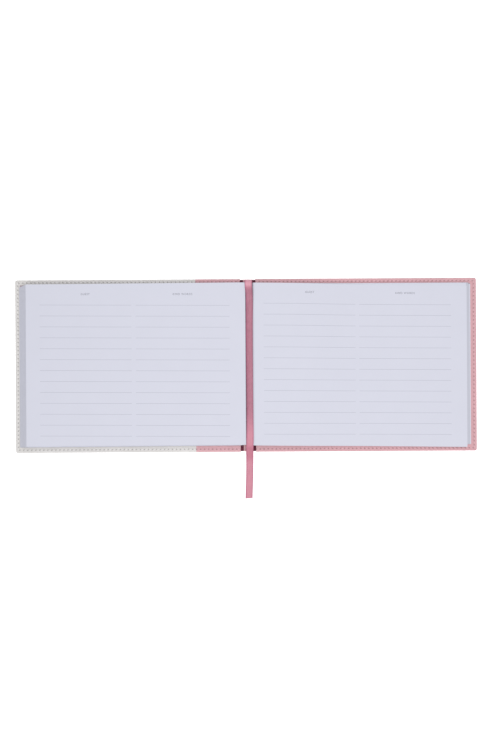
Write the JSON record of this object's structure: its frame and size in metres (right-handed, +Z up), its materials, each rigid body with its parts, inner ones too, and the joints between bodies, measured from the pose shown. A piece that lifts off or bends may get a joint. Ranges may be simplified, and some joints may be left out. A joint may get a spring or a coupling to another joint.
{
  "type": "guest book",
  "caption": "Open landscape guest book: two hinged hard covers on a spine, sewn page sections that fan out on each side, one loose turning leaf and a ribbon marker.",
  "frame": {"origin": "under the middle of the open case, on the surface that the open book lies on", "axes": "+Z up from the table; +X towards the back cover's fore-edge (the reader's right); +Y towards the head of the pages"},
  "size_m": [0.475, 0.2264, 0.0139],
  "materials": {
    "white_leatherette": "fine pebbled grain, satin",
    "pink_leatherette": "fine pebbled grain, satin",
    "grey_board": "matte",
    "endpaper": "matte",
    "page_paper": "matte, printed with faint ruled lines",
    "white_thread": "matte",
    "pink_thread": "matte",
    "linen_thread": "matte",
    "lining_paper": "matte",
    "satin_ribbon": "satin"
  },
  "bodies": {
    "spine": {"spine_board": "grey_board", "spine_leather": "pink_leatherette", "spine_lining": "lining_paper", "front_hinge_leather": "pink_leatherette", "back_hinge_leather": "pink_leatherette", "spine_stitching_head": "pink_thread", "spine_stitching_tail": "pink_thread", "ribbon_marker": "satin_ribbon", "sewing_thread_1": "linen_thread", "sewing_thread_2": "linen_thread", "sewing_thread_3": "linen_thread", "sewing_thread_4": "linen_thread"},
    "front_cover": {"front_board": "grey_board", "front_cover_panel": "white_leatherette", "front_cover_strip": "pink_leatherette", "front_pastedown": "endpaper", "front_stitching_inside": "white_thread", "front_stitching_outside": "white_thread"},
    "back_cover": {"back_board": "grey_board", "back_cover_panel": "pink_leatherette", "back_pastedown": "endpaper", "back_stitching_inside": "pink_thread", "back_stitching_outside": "pink_thread"},
    "section_01": {"section_01": "page_paper", "front_flyleaf": "endpaper"},
    "section_02": {"section_02": "page_paper"},
    "section_03": {"section_03": "page_paper"},
    "section_04": {"section_04": "page_paper"},
    "section_05": {"section_05": "page_paper"},
    "section_06": {"section_06": "page_paper"},
    "section_07": {"section_07": "page_paper"},
    "section_08": {"section_08": "page_paper"},
    "section_09": {"section_09": "page_paper"},
    "section_10": {"section_10": "page_paper"},
    "section_11": {"section_11": "page_paper"},
    "section_12": {"section_12": "page_paper", "back_flyleaf": "endpaper"},
    "turning_leaf": {"turning_leaf": "page_paper"}
  },
  "joints": [
    {"name": "front_cover_hinge", "type": "hinge", "parent": "spine", "child": "front_cover", "pos_m": [-0.0059, 0, 0.002], "axis": [0, 1, 0], "range_deg": [0, 90], "deforming": ["front_hinge_leather", "ribbon_marker"]},
    {"name": "back_cover_hinge", "type": "hinge", "parent": "spine", "child": "back_cover", "pos_m": [0.0101, 0, 0.002], "axis": [0, -1, 0], "range_deg": [0, 90], "deforming": ["back_hinge_leather"]},
    {"name": "section_01_hinge", "type": "hinge", "parent": "spine", "child": "section_01", "pos_m": [-0.0059, 0, 0.002], "axis": [0, 1, 0], "range_deg": [0, 90]},
    {"name": "section_02_hinge", "type": "hinge", "parent": "spine", "child": "section_02", "pos_m": [-0.00552, 0, 0.00238], "axis": [0, 1, 0], "range_deg": [0, 90]},
    {"name": "section_03_hinge", "type": "hinge", "parent": "spine", "child": "section_03", "pos_m": [-0.00514, 0, 0.00276], "axis": [0, 1, 0], "range_deg": [0, 90]},
    {"name": "section_04_hinge", "type": "hinge", "parent": "spine", "child": "section_04", "pos_m": [-0.00476, 0, 0.00314], "axis": [0, 1, 0], "range_deg": [0, 90]},
    {"name": "section_05_hinge", "type": "hinge", "parent": "spine", "child": "section_05", "pos_m": [-0.00438, 0, 0.00352], "axis": [0, 1, 0], "range_deg": [0, 90]},
    {"name": "section_06_hinge", "type": "hinge", "parent": "spine", "child": "section_06", "pos_m": [-0.00399, 0, 0.00391], "axis": [0, 1, 0], "range_deg": [0, 90]},
    {"name": "section_07_hinge", "type": "hinge", "parent": "spine", "child": "section_07", "pos_m": [-0.00361, 0, 0.00429], "axis": [0, 1, 0], "range_deg": [0, 90]},
    {"name": "section_08_hinge", "type": "hinge", "parent": "spine", "child": "section_08", "pos_m": [-0.00323, 0, 0.00467], "axis": [0, 1, 0], "range_deg": [0, 90]},
    {"name": "section_09_hinge", "type": "hinge", "parent": "spine", "child": "section_09", "pos_m": [-0.00285, 0, 0.00505], "axis": [0, 1, 0], "range_deg": [0, 90]},
    {"name": "section_10_hinge", "type": "hinge", "parent": "spine", "child": "section_10", "pos_m": [0.0079, 0, 0.0042], "axis": [0, -1, 0], "range_deg": [0, 90]},
    {"name": "section_11_hinge", "type": "hinge", "parent": "spine", "child": "section_11", "pos_m": [0.009, 0, 0.0031], "axis": [0, -1, 0], "range_deg": [0, 90]},
    {"name": "section_12_hinge", "type": "hinge", "parent": "spine", "child": "section_12", "pos_m": [0.0101, 0, 0.002], "axis": [0, -1, 0], "range_deg": [0, 90]},
    {"name": "page_turn", "type": "hinge", "parent": "section_09", "child": "turning_leaf", "pos_m": [0.0034, 0, 0.0138], "axis": [0, -1, 0], "range_deg": [-178, 0], "deforming": ["turning_leaf"]}
  ],
  "couplings": [
    {"joint": "section_01_hinge", "follows": "front_cover_hinge", "ratio": 1},
    {"joint": "section_02_hinge", "follows": "front_cover_hinge", "ratio": 1},
    {"joint": "section_03_hinge", "follows": "front_cover_hinge", "ratio": 1},
    {"joint": "section_04_hinge", "follows": "front_cover_hinge", "ratio": 1},
    {"joint": "section_05_hinge", "follows": "front_cover_hinge", "ratio": 1},
    {"joint": "section_06_hinge", "follows": "front_cover_hinge", "ratio": 1},
    {"joint": "section_07_hinge", "follows": "front_cover_hinge", "ratio": 1},
    {"joint": "section_08_hinge", "follows": "front_cover_hinge", "ratio": 1},
    {"joint": "section_09_hinge", "follows": "front_cover_hinge", "ratio": 1},
    {"joint": "section_10_hinge", "follows": "back_cover_hinge", "ratio": 1},
    {"joint": "section_11_hinge", "follows": "back_cover_hinge", "ratio": 1},
    {"joint": "section_12_hinge", "follows": "back_cover_hinge", "ratio": 1}
  ]
}
